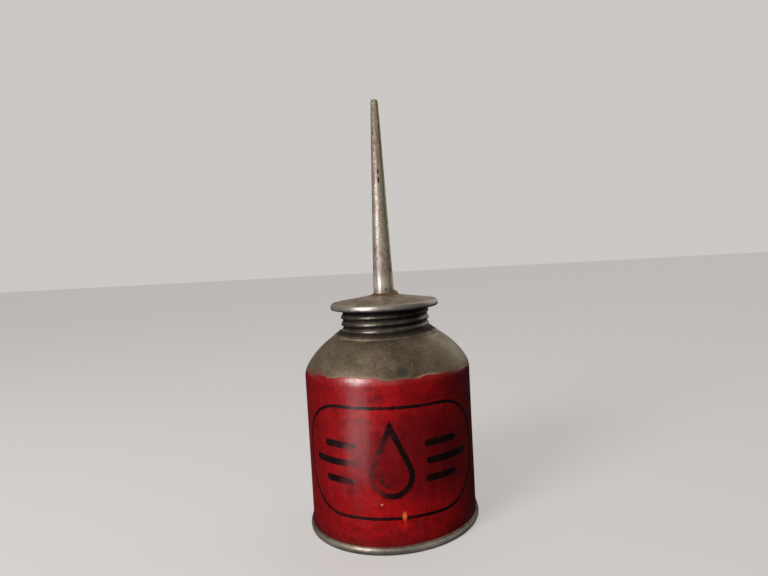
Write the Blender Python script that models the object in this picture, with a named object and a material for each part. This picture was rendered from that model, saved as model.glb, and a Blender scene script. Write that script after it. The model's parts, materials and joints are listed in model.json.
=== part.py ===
"""Push-bottom oiler can, as an assembly of turned and rolled sheet-metal pieces.

All sizes are in metres. +Z is up, and the origin is the centre of the circle the can stands on.
Every piece is turned about Z from an outline of (radius, height) points.
"""

import math

import bmesh
import bpy
from mathutils import Vector
from mathutils.geometry import interpolate_bezier

# Driving dimensions: body shell
BODY_RADIUS = 0.03175
SHOULDER_BASE = 0.0585
SHOULDER_TOP = 0.0736
SHELL_FOOT = 0.0011

# Driving dimensions: seam rim and push bottom
RIM_RADIUS = 0.0329
RIM_HEIGHT = 0.0030
SEAM_FLOOR = 0.0008
PAN_LAND = 0.0058
DIAPHRAGM_RADIUS = 0.0274
CORRUGATION = 0.00035
THUMB_RADIUS = 0.0120
THUMB_HEIGHT = 0.0009
DISH = 0.0002

# Driving dimensions: neck and its thread
NECK_RADIUS = 0.0170
NECK_TOP = 0.0821
THREAD_PITCH = 0.00265
THREAD_DEPTH = 0.0008
THREAD_FADE = 0.0008
THREAD_START = 0.0726

# Driving dimensions: cap and spout
FLANGE_RADIUS = 0.02075
FLANGE_HEIGHT = 0.0839
FLANGE_BEAD = 0.00122
FLANGE_CENTRE = 0.0875
SPOUT_BASE_RADIUS = 0.00395
SPOUT_TIP_RADIUS = 0.00136
SPOUT_BASE = 0.0876
SPOUT_TIP = 0.1615

# Sheet thicknesses, and the clearance between neighbouring pieces
SHEET = 0.0005
THIN_SHEET = 0.0004
GAP = 0.0003

# How finely the turned pieces are divided
SEGMENTS = 36
ROWS_PER_PITCH = 6
MERGE_DISTANCE = 1e-6

# Derived dimensions
PAN_WALL = BODY_RADIUS - SHEET - GAP
NECK_BORE = NECK_RADIUS - SHEET
COLLAR_ROOT = NECK_BORE - GAP - THREAD_DEPTH
COLLAR_BOTTOM = SHOULDER_TOP + SHEET
COLLAR_THREAD_TOP = NECK_TOP - THREAD_PITCH / 2
GASKET_BOTTOM = NECK_TOP + GAP


def arc(centre, radius, start, end, steps):
    """Points from angle start to angle end, in degrees from +radius towards +height."""
    angles = [math.radians(start + (end - start) * i / steps) for i in range(steps + 1)]
    return [(centre[0] + radius * math.cos(a), centre[1] + radius * math.sin(a)) for a in angles]


def bezier(start, start_handle, end_handle, end, count):
    """Points of a cubic curve in the (radius, height) plane."""
    points = (Vector((*p, 0)) for p in (start, start_handle, end_handle, end))
    return [(p.x, p.y) for p in interpolate_bezier(*points, count)]


def offset(line, distance):
    """The line moved sideways by distance, to its left as it is walked, with mitred corners."""
    points = [Vector(p) for p in line]
    moved = []
    for i, point in enumerate(points):
        before = (point - points[i - 1]).normalized() if i else None
        after = (points[i + 1] - point).normalized() if i + 1 < len(points) else None
        before, after = before or after, after or before
        left = Vector((-before.y - after.y, before.x + after.x)).normalized()
        mitre = left.dot(Vector((-after.y, after.x)))
        moved.append(tuple(point + left * (distance / mitre)))
    return moved


def sheet(line, thickness):
    """Closed outline of a sheet whose right-hand face is the line."""
    return line + offset(line, thickness)[::-1]


def rows(bottom, top):
    """Heights from bottom to top, close enough together to carry the thread."""
    count = round((top - bottom) / THREAD_PITCH * ROWS_PER_PITCH)
    return [bottom + (top - bottom) * i / count for i in range(count + 1)]


def smooth_step(value):
    """0 below 0, 1 above 1, and a smooth rise between."""
    value = min(1.0, max(0.0, value))
    return value * value * (3 - 2 * value)


def groove(angle, height):
    """How deep the right-hand thread is there, from 0 on its crest to 1 in its groove."""
    turns = (height - THREAD_START) / THREAD_PITCH - angle / (2 * math.pi)
    return 0.5 - 0.5 * math.cos(2 * math.pi * turns)


def thread_fade(height, bottom, top):
    """1 along the thread, falling smoothly to 0 at both of its ends."""
    return smooth_step((height - bottom) / THREAD_FADE) * smooth_step((top - height) / THREAD_FADE)


def shoulder_line(count):
    """Outer face of the shoulder, from the side wall up to the neck opening."""
    return bezier(
        (BODY_RADIUS, SHOULDER_BASE),
        (BODY_RADIUS, SHOULDER_BASE + 0.0052),
        (NECK_RADIUS + 0.0040, SHOULDER_TOP - 0.0002),
        (NECK_RADIUS - 0.0002, SHOULDER_TOP),
        count,
    )


def above_shoulder(start, end, clearance, count):
    """A line over the shoulder at that clearance, between two distances out from the neck."""
    line = offset(shoulder_line(240), -clearance)
    line = [p for p in line if NECK_RADIUS + end < p[0] < NECK_RADIUS + start]
    return [line[round((len(line) - 1) * i / (count - 1))] for i in range(count)]


def flange_top(radius):
    """Height of the cap flange's conical top face."""
    edge_radius = FLANGE_RADIUS - 2 * FLANGE_BEAD
    edge_height = FLANGE_HEIGHT + FLANGE_BEAD
    share = (radius - SPOUT_BASE_RADIUS) / (edge_radius - SPOUT_BASE_RADIUS)
    return FLANGE_CENTRE + (edge_height - FLANGE_CENTRE) * share


def under_flange(radius):
    """Height just clear of the flange's underside."""
    return flange_top(radius) - SHEET - GAP


def spout_radius(height):
    """Outer radius of the spout's straight taper."""
    share = (height - SPOUT_BASE) / (SPOUT_TIP - SPOUT_BASE)
    return SPOUT_BASE_RADIUS + (SPOUT_TIP_RADIUS - SPOUT_BASE_RADIUS) * share


def finish_material(name, colour, roughness, metallic):
    material = bpy.data.materials.new(name)
    material.use_nodes = True
    shader = material.node_tree.nodes["Principled BSDF"]
    shader.inputs["Base Color"].default_value = (*colour, 1.0)
    shader.inputs["Roughness"].default_value = roughness
    shader.inputs["Metallic"].default_value = metallic
    material.diffuse_color = (*colour, 1.0)
    return material


def joint_empty(name, height):
    """An empty on the can's axis, which the pieces of one moving body hang from."""
    empty = bpy.data.objects.new(name, None)
    empty.location.z = height
    empty.empty_display_size = 0.01
    bpy.context.scene.collection.objects.link(empty)
    return empty


def turned(name, outline, parent, material):
    """One solid, turned about Z from a closed outline, with its origin at its parent empty."""
    base = parent.location.z
    shape = bmesh.new()
    points = [shape.verts.new((radius, 0, height - base)) for radius, height in outline]
    edges = [shape.edges.new((a, b)) for a, b in zip(points, points[1:] + points[:1])]
    bmesh.ops.spin(
        shape,
        geom=points + edges,
        cent=(0, 0, 0),
        axis=(0, 0, 1),
        angle=2 * math.pi,
        steps=SEGMENTS,
        use_merge=True,
    )
    bmesh.ops.remove_doubles(shape, verts=shape.verts, dist=MERGE_DISTANCE)
    bmesh.ops.dissolve_degenerate(shape, edges=shape.edges, dist=MERGE_DISTANCE)
    bmesh.ops.recalc_face_normals(shape, faces=shape.faces)
    mesh = bpy.data.meshes.new(name)
    shape.to_mesh(mesh)
    shape.free()
    mesh.shade_smooth()
    mesh.set_sharp_from_angle(angle=math.radians(35))
    mesh.materials.append(material)
    piece = bpy.data.objects.new(name, mesh)
    piece.parent = parent
    bpy.context.scene.collection.objects.link(piece)
    return piece


def roll_thread(piece, radial_change):
    """Moves each vertex in or out by radial_change(angle, height), as rolling the thread does."""
    base = piece.parent.location.z
    for vertex in piece.data.vertices:
        x, y, z = vertex.co
        scale = 1 + radial_change(math.atan2(y, x), z + base) / math.hypot(x, y)
        vertex.co = (x * scale, y * scale, z)
    piece.data.update()


def make_body_shell(can, enamel):
    """Drawn steel shell: side wall and shoulder in one piece."""
    line = [(BODY_RADIUS, SHELL_FOOT), *shoulder_line(12)]
    turned("body_shell", sheet(line, SHEET), can, enamel)


def make_neck(can, steel, solder):
    """Threaded ring whose skirt lies on the shoulder, and the bead of solder round the skirt."""
    skirt_edge = 0.0012
    skirt_end = 0.0004
    bead_outer = 0.0031
    bead_inner = 0.0015
    bead_height = 0.0005
    thread_bottom = SHOULDER_TOP + SHEET

    skirt = above_shoulder(skirt_edge, skirt_end, GAP + SHEET, 3)
    wall = [(NECK_RADIUS, z) for z in rows(thread_bottom + GAP, NECK_TOP)]
    ring = turned("neck_ring", sheet(skirt + wall, SHEET), can, steel)

    def pressed_in(angle, height):
        return -THREAD_DEPTH * groove(angle, height) * thread_fade(height, thread_bottom, NECK_TOP)

    roll_thread(ring, pressed_in)

    outer, inner = above_shoulder(bead_outer, bead_inner, GAP, 2)
    crown = (inner[0], inner[1] + bead_height)
    turned("neck_solder", [outer, inner, crown], can, solder)


def make_rim(can, steel):
    """Seam of the bottom: the hem outside the shell's foot, and the countersunk wall inside it."""
    hem = 0.00042
    heel = 0.0006
    toe = 0.00045
    bend = 0.0005
    hem_centre = RIM_RADIUS - hem
    inner_wall = PAN_WALL - SHEET
    land_end = DIAPHRAGM_RADIUS + GAP
    bend_centre = (inner_wall - bend, PAN_LAND - bend)
    outline = [
        (hem_centre - hem, SEAM_FLOOR),
        *arc((hem_centre, RIM_HEIGHT - hem), hem, 180, 0, 6),
        *arc((RIM_RADIUS - heel, heel), heel, 0, -90, 4),
        *arc((inner_wall + toe, toe), toe, -90, -180, 3),
        *arc(bend_centre, bend, 0, 90, 3),
        (land_end, PAN_LAND),
        (land_end, PAN_LAND + SHEET),
        *arc(bend_centre, bend + SHEET, 90, 0, 3),
        (PAN_WALL, SEAM_FLOOR),
    ]
    turned("bottom_rim", outline, can, steel)


def make_bottom_solder(can, solder):
    """Fillet that seals the bottom to the shell, inside the can."""
    leg = 0.0011
    foot = PAN_LAND + SHEET + GAP
    turned(
        "bottom_solder",
        [(PAN_WALL, foot), (PAN_WALL, foot + leg), (PAN_WALL - leg, foot)],
        can,
        solder,
    )


def make_diaphragm(can, steel):
    """Corrugated ring that flexes when the bottom is pushed in."""
    steps = 14
    waves = 2
    start = THUMB_RADIUS + GAP
    low = THUMB_HEIGHT + DISH
    line = []
    for i in range(steps + 1):
        share = i / steps
        radius = start + (DIAPHRAGM_RADIUS - start) * share
        wave = CORRUGATION * math.sin(2 * math.pi * waves * share) * math.sin(math.pi * share)
        line.append((radius, low + (PAN_LAND - low) * smooth_step(share) + wave))
    turned("bottom_diaphragm", sheet(line, THIN_SHEET), can, steel)


def make_thumb_disc(push, steel):
    """Shallow dished centre of the bottom, which the thumb pushes."""
    rise = 0.0025
    line = [(0, THUMB_HEIGHT), (THUMB_RADIUS - rise, THUMB_HEIGHT), (THUMB_RADIUS, THUMB_HEIGHT + DISH)]
    turned("bottom_thumb_disc", sheet(line, THIN_SHEET), push, steel)


def make_gasket(gasket, leather):
    """Washer between the neck's mouth and the flange."""
    inner = COLLAR_ROOT + GAP
    outer = NECK_RADIUS + 0.0009
    corner = 0.0003
    top = under_flange(outer)
    outline = [
        (inner, GASKET_BOTTOM),
        (outer - corner, GASKET_BOTTOM),
        (outer, GASKET_BOTTOM + corner),
        (outer, top - corner),
        (outer - corner, top),
        (inner, top),
    ]
    turned("cap_gasket", outline, gasket, leather)


def make_collar(cap, steel, solder):
    """Sleeve under the flange with the cap's thread on it, and the solder at its inturned lip."""
    lip = 0.0020
    bend = 0.0005
    bead_leg = 0.0014
    bead_drop = 0.0009
    lip_end = COLLAR_ROOT - lip
    lip_height = under_flange(lip_end)
    line = [(COLLAR_ROOT, z) for z in rows(COLLAR_BOTTOM, COLLAR_THREAD_TOP)]
    line += [(COLLAR_ROOT, lip_height - 2 * bend), (COLLAR_ROOT - bend, lip_height - bend / 2)]
    line += [(lip_end, lip_height)]
    collar = turned("cap_collar", sheet(line, SHEET), cap, steel)

    def pressed_out(angle, height):
        fade = thread_fade(height, COLLAR_BOTTOM, COLLAR_THREAD_TOP)
        return THREAD_DEPTH * (1 - groove(angle, height)) * fade

    roll_thread(collar, pressed_out)

    edge = lip_end - GAP
    top = under_flange(edge)
    turned("collar_solder", [(edge, top), (edge, top - bead_drop), (edge - bead_leg, top)], cap, solder)


def make_flange(cap, steel):
    """Wide shallow cone with a rolled edge and a hole for the spout."""
    hole = SPOUT_BASE_RADIUS + GAP
    middle = (hole + FLANGE_RADIUS) / 2
    curl = arc((FLANGE_RADIUS - FLANGE_BEAD, FLANGE_HEIGHT), FLANGE_BEAD, 95, -150, 10)
    line = [(hole, flange_top(hole)), (middle, flange_top(middle)), *curl]
    turned("cap_flange", sheet(line[::-1], SHEET), cap, steel)


def make_spout(cap, spout_metal, solder):
    """Open tapered tube flared out under the flange, and the fillet of solder round its base."""
    flare = 0.0013
    bend = 0.0004
    flare_height = under_flange(SPOUT_BASE_RADIUS + flare) - THIN_SHEET
    tip_round = 0.00025
    taper = [SPOUT_BASE, 0.105, 0.125, 0.145, SPOUT_TIP - 5 * tip_round]
    line = [
        (SPOUT_BASE_RADIUS + flare, flare_height),
        (SPOUT_BASE_RADIUS + bend, flare_height + bend / 4),
        (SPOUT_BASE_RADIUS, flare_height + 2 * bend),
        *[(spout_radius(z), z) for z in taper],
        (SPOUT_TIP_RADIUS - tip_round / 2, SPOUT_TIP - tip_round),
        (SPOUT_TIP_RADIUS - tip_round, SPOUT_TIP),
    ]
    turned("spout_tube", sheet(line, THIN_SHEET), cap, spout_metal)

    fillet_width = 0.0015
    fillet_height = 0.0009
    inner = SPOUT_BASE_RADIUS + GAP
    outer = inner + fillet_width
    fillet = [
        (inner, flange_top(inner) + GAP),
        (outer, flange_top(outer) + GAP),
        (inner + fillet_width / 3, SPOUT_BASE + fillet_height / 3),
        (inner, SPOUT_BASE + fillet_height),
    ]
    turned("spout_solder", fillet, cap, solder)


def main():
    for obj in list(bpy.data.objects):
        bpy.data.objects.remove(obj)

    enamel = finish_material("red_enamel", (0.42, 0.022, 0.025), 0.38, 0.0)
    steel = finish_material("tinned_steel", (0.33, 0.30, 0.24), 0.42, 0.9)
    spout_metal = finish_material("bright_tin", (0.50, 0.47, 0.41), 0.33, 1.0)
    solder = finish_material("solder", (0.36, 0.28, 0.19), 0.55, 0.8)
    leather = finish_material("gasket_leather", (0.07, 0.05, 0.035), 0.85, 0.0)

    can = joint_empty("can_base", 0.0)
    push = joint_empty("push_axis", THUMB_HEIGHT)
    gasket = joint_empty("gasket_seat", GASKET_BOTTOM)
    cap = joint_empty("cap_axis", FLANGE_HEIGHT)

    make_body_shell(can, enamel)
    make_neck(can, steel, solder)
    make_rim(can, steel)
    make_bottom_solder(can, solder)
    make_diaphragm(can, steel)
    make_thumb_disc(push, steel)
    make_gasket(gasket, leather)
    make_collar(cap, steel, solder)
    make_flange(cap, steel)
    make_spout(cap, spout_metal, solder)


main()
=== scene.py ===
"""Looks of a push-bottom hand oiler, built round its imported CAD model. Metres, +Z up.

The front of the can, with its printed panel, faces -Y. Angles round the can are measured from there
towards +X. Each visible piece is a finer version of its CAD node: the node's own cross-section is
smoothed, turned about Z with many more facets, and given the small faults of an old tinned can.
Noise, ripples, dents and overlays take their sizes in mm, and angles that are written out are degrees.
"""

import json
import math

import bmesh
import bpy
import numpy as np
from mathutils import Matrix, Vector


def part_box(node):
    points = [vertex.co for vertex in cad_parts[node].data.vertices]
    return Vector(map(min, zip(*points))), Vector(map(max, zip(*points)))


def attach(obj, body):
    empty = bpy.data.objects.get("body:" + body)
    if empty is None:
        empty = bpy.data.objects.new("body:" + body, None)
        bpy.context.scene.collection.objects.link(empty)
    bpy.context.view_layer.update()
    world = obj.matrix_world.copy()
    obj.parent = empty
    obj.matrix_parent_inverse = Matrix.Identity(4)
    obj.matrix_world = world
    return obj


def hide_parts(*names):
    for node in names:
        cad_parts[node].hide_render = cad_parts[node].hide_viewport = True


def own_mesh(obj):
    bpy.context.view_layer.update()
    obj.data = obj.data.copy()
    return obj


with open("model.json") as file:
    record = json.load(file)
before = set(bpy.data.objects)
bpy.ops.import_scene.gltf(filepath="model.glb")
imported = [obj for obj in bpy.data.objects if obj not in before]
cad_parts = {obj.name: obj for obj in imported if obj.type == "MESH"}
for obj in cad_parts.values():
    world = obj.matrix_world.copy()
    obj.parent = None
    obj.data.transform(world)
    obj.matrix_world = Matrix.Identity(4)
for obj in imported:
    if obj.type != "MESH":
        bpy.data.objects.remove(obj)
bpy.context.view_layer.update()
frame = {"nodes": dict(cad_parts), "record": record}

MM = 0.001
FULL_TURN = 2 * math.pi
SAME_POINT = 1e-6

# Facets round every turned piece
SEGMENTS = 192

# The thread, as rolled in the CAD model: its pitch comes from the coupling that drives the cap
THREAD_PITCH = frame["record"]["behaviour"]["couplings"][0]["ratio"] * FULL_TURN
THREAD_DEPTH = 0.8 * MM
THREAD_FADE = 0.8 * MM
THREAD_START = 72.6 * MM
# Where each thread begins and ends, and the radius outside which the neck is skirt
NECK_THREAD = (74.1 * MM, 82.1 * MM)
COLLAR_THREAD = (74.1 * MM, 80.775 * MM)
SKIRT_RADIUS = 17.6 * MM
# How the real thread differs: narrower grooves, leaning crests, and a little higher
THREAD_SHARPNESS = 2.2
THREAD_LEAN = 0.55
THREAD_LIFT = 0.57 * MM

BODY_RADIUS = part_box("body_shell")[1].x
PAINT_TOP = 60.6 * MM
# Middle and half height of the outer face of the rim
RIM_MIDDLE = 1.1 * MM
RIM_HALF = 1.5 * MM
# The flange's curled edge: its middle, its own radius, and how it is pressed
CURL_RADIUS = 19.53 * MM
CURL_HEIGHT = 83.9 * MM
CURL_SIZE = 1.22 * MM
CURL_HALF_HEIGHT = 1.27 * MM
CURL_SQUARENESS = 0.72
CURL_TILT = 0.17
FLANGE_RADIUS = 20.8 * MM
# How far the spout leans to the right, and the height of its foot
SPOUT_LEAN = 0.33 * MM
SPOUT_FOOT = 88 * MM

# The printed panel: its middle, its slope, and how softly ink ends
PANEL_LEFT = 0.65 * MM
PANEL_HEIGHT = 31.75 * MM
PANEL_SLOPE = 0.018
INK_EDGE = 0.09 * MM
# Its border: half width, half height and corner radius; then half the width of each line
BORDER = (36.1 * MM, 19.2 * MM, 17.0 * MM)
BORDER_LINE = 0.58 * MM
DROP_LINE = 1.0 * MM
GLEAM_LINE = 0.65 * MM
# The drop: how low its ball's middle is in the panel, the ball's radius, and the point above it
DROP_LOW = 4.4 * MM
DROP_RADIUS = 7.0 * MM
DROP_POINT = 17.0 * MM
GLEAM_RADIUS = 3.7 * MM
# Rules on both sides of the drop: height above the panel's middle, inner and outer end, in mm
RULES = ((5.8, 12.0, 25.5), (-0.4, 12.5, 31.0), (-6.6, 12.0, 25.5))
RULE_HALF = 1.25 * MM

# Where the enamel's edge drops as it goes round: the angles between which it does, and mm
PAINT_DIPS = (
    (-62, -52, -0.7),
    (-48, -42, 0.5),
    (-36, -32, -0.5),
    (-18, 2, 0.95),
    (52, 74, 1.2),
    (110, 165, -1.45),
)

# Shallow dents of the wall and shoulder: angle, then height, width and depth in mm
DENTS = (
    (-34, 47, 9.0, 0.28),
    (38, 22, 11.0, 0.24),
    (112, 35, 10.0, 0.38),
    (176, 18, 8.0, 0.30),
    (-128, 41, 12.0, 0.34),
    (24, 66, 5.0, 0.16),
    (-70, 64, 6.0, 0.18),
    (150, 63, 6.0, 0.22),
)

# Nicks of the spout, in the same way, and its radius about where they are
SPOUT_NICKS = ((-40, 121, 1.6, 0.05), (18, 96, 2.2, 0.06), (70, 139, 1.8, 0.05), (160, 108, 2.4, 0.08))
NICKED_RADIUS = 3 * MM

# Dark specks on the spout: angle, then height, half width and half height in mm
SPOUT_SPECKS = (
    (12, 89.4, 0.45, 0.45),
    (5, 134.3, 0.4, 1.1),
    (7, 131.0, 0.45, 1.5),
    (52, 96.8, 0.45, 1.1),
    (35, 118.0, 0.25, 0.5),
    (-30, 149.0, 0.3, 0.8),
    (130, 110.0, 0.5, 1.4),
    (-120, 125.0, 0.4, 1.0),
)

# Bright, dull and stained screen colours of the tin of the neck and the cap's collar
DIRTY_TIN = ((124, 115, 106), (84, 74, 63), (60, 47, 36))
DIRTY_TIN_ROUGHNESS = (0.2, 0.4)

# The photograph's camera, fitted to the outlines of the can: turns in radians, lens and sensor in mm
CAMERA_YAW, CAMERA_PITCH, CAMERA_ROLL = 0.068397, 0.062709, -0.050959
CAMERA_PLACE = (0, -0.2236008, 0.1030058)
CAMERA_LENS = 26.99
CAMERA_SENSOR = 36
CAMERA_SHIFT = -0.0507

# Lights aimed at the can: azimuth and elevation, distance, width and height in metres, watts, colour
LIGHTS = {
    "window": (-46, 24, 0.75, 0.32, 0.30, 3.5, (1.0, 0.99, 0.985)),
    "window_sill": (-45, 2, 0.75, 0.15, 0.24, 1.1, (1, 1, 1)),
    "room_in_front": (-12, 20, 1.2, 1.2, 0.9, 1.7, (1, 1, 1)),
    "low_glow": (-39.5, -21, 0.106, 0.043, 0.036, 0.0047, (1, 1, 1)),
}
LIT_POINT = (0, 0, 0.06)
# Half the width of the floor
FLOOR_HALF = 3.0


# -------- shapes


def cad_outline(node):
    """The node's cross-section at +X, as (radius, height) points in order, and whether it closes."""
    mesh = frame["nodes"][node].data
    places = [tuple(round(c, 7) for c in v.co) for v in mesh.vertices]
    nearby = {}
    for edge in mesh.edges:
        a, b = (places[i] for i in edge.vertices)
        if a != b and all(abs(p[1]) < SAME_POINT and p[0] > -SAME_POINT for p in (a, b)):
            nearby.setdefault(a, set()).add(b)
            nearby.setdefault(b, set()).add(a)
    on_axis = [p for p in nearby if p[0] < SAME_POINT]
    point = min(on_axis or nearby, key=lambda p: p[2])
    walk = [point]
    while True:
        onward = [p for p in nearby[point] if p not in walk]
        if not onward:
            break
        point = max(onward, key=lambda p: p[0]) if len(walk) == 1 else onward[0]
        walk.append(point)
    return [np.array((p[0], p[2])) for p in walk], not on_axis


def cut_corners(points, closed, corner_angle, radius):
    """The outline with an arc in place of each sharp corner, and which of its points are sharp."""
    made = []
    count = len(points)
    for i, point in enumerate(points):
        if not closed and i in (0, count - 1):
            made.append((point, True))
            continue
        back, on = points[i - 1] - point, points[(i + 1) % count] - point
        back_length, on_length = np.linalg.norm(back), np.linalg.norm(on)
        turn = math.pi - math.acos(np.clip(back @ on / (back_length * on_length), -1, 1))
        if turn < corner_angle:
            made.append((point, False))
            continue
        reach = min(radius, back_length / 3, on_length / 3)
        start = point + back / back_length * reach
        end = point + on / on_length * reach
        for share in (0, 0.33, 0.67, 1):
            place = (1 - share) ** 2 * start + 2 * share * (1 - share) * point + share**2 * end
            made.append((place, True))
    return zip(*made)


def smoothed(points, closed, spacing, corner_angle=40, radius=0.09 * MM):
    """Closely spaced points on a curve through the outline, straight where that is, and closed."""
    points, sharp = cut_corners(points, closed, math.radians(corner_angle), radius)
    count = len(points)
    last = count if closed else count - 1
    steps = [points[(i + 1) % count] - points[i] for i in range(last)]
    lengths = [np.linalg.norm(s) for s in steps]
    ways = [s / n for s, n in zip(steps, lengths)]

    def tangent(i, own):
        before, after = (i - 1) % last, i % last
        if sharp[i % count]:
            return ways[own]
        long, short = max(lengths[before], lengths[after]), min(lengths[before], lengths[after])
        if long > 3 * short:
            return ways[before] if lengths[before] > lengths[after] else ways[after]
        blend = ways[before] * lengths[after] + ways[after] * lengths[before]
        return blend / np.linalg.norm(blend)

    curve = []
    for i in range(last):
        pieces = max(1, math.ceil(lengths[i] / spacing))
        start, end = tangent(i, i) * lengths[i], tangent(i + 1, i) * lengths[i]
        for share in np.arange(pieces) / pieces:
            square, cube = share**2, share**3
            curve.append(
                (2 * cube - 3 * square + 1) * points[i]
                + (cube - 2 * square + share) * start
                + (3 * square - 2 * cube) * points[(i + 1) % count]
                + (cube - square) * end
            )
    if not closed:
        curve.append(points[-1])
    return np.array(curve), closed


def in_mm(points):
    """Points given in mm, as arrays in metres."""
    return [np.array(point) * MM for point in points]


def placed(name, data):
    """A new object in the scene."""
    made = bpy.data.objects.new(name, data)
    bpy.context.scene.collection.objects.link(made)
    return made


def turned(name, shape, material, inner_material=None, warp=None):
    """Turns a smoothed outline about Z, with warp(angle, radius, height) for its small faults."""
    curve, closed = shape
    radius = np.repeat(curve[:, 0:1], SEGMENTS, axis=1)
    height = np.repeat(curve[:, 1:2], SEGMENTS, axis=1)
    angle = np.repeat((np.arange(SEGMENTS) * FULL_TURN / SEGMENTS)[None, :], len(curve), axis=0)
    if warp:
        radius, height = warp(angle, radius, height)
    corners = np.stack([radius * np.sin(angle), -radius * np.cos(angle), height], axis=2)
    rings = len(curve)
    index = np.arange(rings * SEGMENTS).reshape(rings, SEGMENTS)
    faces, inner = [], []
    for ring in range(rings if closed else rings - 1):
        following = (ring + 1) % rings
        outward, upward = curve[following] - curve[ring]
        for side in range(SEGMENTS):
            beside = (side + 1) % SEGMENTS
            corner_pairs = ((ring, side), (ring, beside), (following, beside), (following, side))
            faces.append([index[pair] for pair in corner_pairs])
            inner.append(upward < outward)
    mesh = bpy.data.meshes.new(name)
    mesh.from_pydata(corners.reshape(-1, 3).tolist(), [], faces)
    mesh.materials.append(material)
    if inner_material:
        mesh.materials.append(inner_material)
        for polygon, is_inner in zip(mesh.polygons, inner):
            polygon.material_index = int(is_inner)
    weld(mesh)
    return placed(name, mesh)


def weld(mesh):
    """Joins the points that meet on the axis and turns every face outwards."""
    edited = bmesh.new()
    edited.from_mesh(mesh)
    bmesh.ops.remove_doubles(edited, verts=edited.verts, dist=SAME_POINT)
    bmesh.ops.dissolve_degenerate(edited, edges=edited.edges, dist=SAME_POINT)
    bmesh.ops.recalc_face_normals(edited, faces=edited.faces)
    edited.to_mesh(mesh)
    edited.free()
    mesh.shade_smooth()
    mesh.set_sharp_from_angle(angle=math.radians(50))


def ripple(seed, size, amount):
    """A smooth irregular function of (angle, height), never larger than amount either way."""
    random = np.random.default_rng(seed)
    waves = [
        (random.integers(1, 9), random.uniform(0.3, 1.2) / (size * MM), random.uniform(0, FULL_TURN))
        for _ in range(7)
    ]

    def value(angle, height):
        total = sum(np.cos(turns * angle + rate * height + phase) for turns, rate, phase in waves)
        return amount * MM * total / len(waves)

    return value


def turn_from(angle, at_angle):
    """How far round each angle is from one in degrees, between minus and plus half a turn."""
    return (angle - math.radians(at_angle) + math.pi) % FULL_TURN - math.pi


def dented(angle, height, dents, wall_radius):
    """How far shallow dents move a wall, each deepest at its middle and gone a few widths away."""
    moved = 0
    for at_angle, at_height, across, depth in dents:
        distance = np.hypot(turn_from(angle, at_angle) * wall_radius, height - at_height * MM)
        moved = moved - depth * MM * np.exp(-((distance / (across * MM)) ** 2))
    return moved


def thread_turns(angle, height):
    """Turns along the right-hand thread. The CAD model's crests are at whole numbers."""
    return (height - THREAD_START) / THREAD_PITCH - (angle - math.pi / 2) / FULL_TURN


def groove(angle, height):
    """How deep the thread is there, from 0 on its crest to 1 in its narrow groove.

    Each crest swells downwards and ends in a steep drop, as on the real can.
    """
    wave = FULL_TURN * thread_turns(angle, height - THREAD_LIFT)
    wave = wave + THREAD_LEAN * (1 + np.cos(wave))
    return (0.5 - 0.5 * np.cos(wave)) ** THREAD_SHARPNESS


def even_groove(angle, height):
    """The same thread as the CAD model has it, with crests as wide as its grooves."""
    return 0.5 - 0.5 * np.cos(FULL_TURN * thread_turns(angle, height))


def smooth_step(value):
    value = np.clip(value, 0, 1)
    return value * value * (3 - 2 * value)


def past(value, start, fade):
    """0 until value is start mm, then rising to 1 over fade mm; the other way if fade is negative."""
    return smooth_step((value - start * MM) / (fade * MM))


def thread_fade(height, bottom, top):
    return smooth_step((height - bottom) / THREAD_FADE) * smooth_step((top - height) / THREAD_FADE)


# -------- materials


def srgb(red, green, blue):
    """A screen colour, 0 to 255, as the linear colour a shader takes."""
    channels = [c / 255 for c in (red, green, blue)]
    return tuple(c / 12.92 if c <= 0.04045 else ((c + 0.055) / 1.055) ** 2.4 for c in channels) + (1.0,)


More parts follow.
